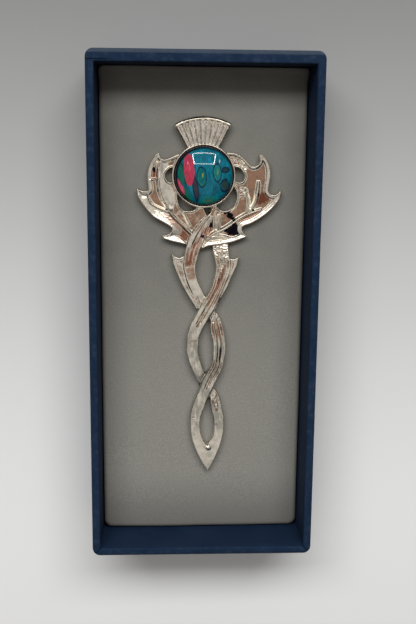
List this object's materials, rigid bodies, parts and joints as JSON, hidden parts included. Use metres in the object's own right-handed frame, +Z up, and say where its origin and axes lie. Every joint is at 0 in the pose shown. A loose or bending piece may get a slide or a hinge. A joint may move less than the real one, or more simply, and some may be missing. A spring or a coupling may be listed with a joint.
{
  "type": "kilt pin in a presentation box tray",
  "caption": "Cast thistle kilt pin with a domed stone, thorny leaves and a twisted stem, lying on a foam pad in an open paper-covered box tray.",
  "frame": {"origin": "middle of the tray's underside, where it rests", "axes": "+Z up out of the tray, +Y along it towards the thistle's head, +X to the right as the pin is looked down on"},
  "size_m": [0.055, 0.123, 0.023],
  "materials": {
    "tray": "navy textured paper over board",
    "pad": "matte grey foam",
    "casting": "polished silver plate over a casting",
    "stone": "clear-coated, teal with crimson and green flecks",
    "pin_back": "bright plated steel"
  },
  "bodies": {
    "root": {"tray": "tray", "pad": "pad", "casting": "casting", "stone": "stone", "pin_back": "pin_back"}
  },
  "joints": []
}
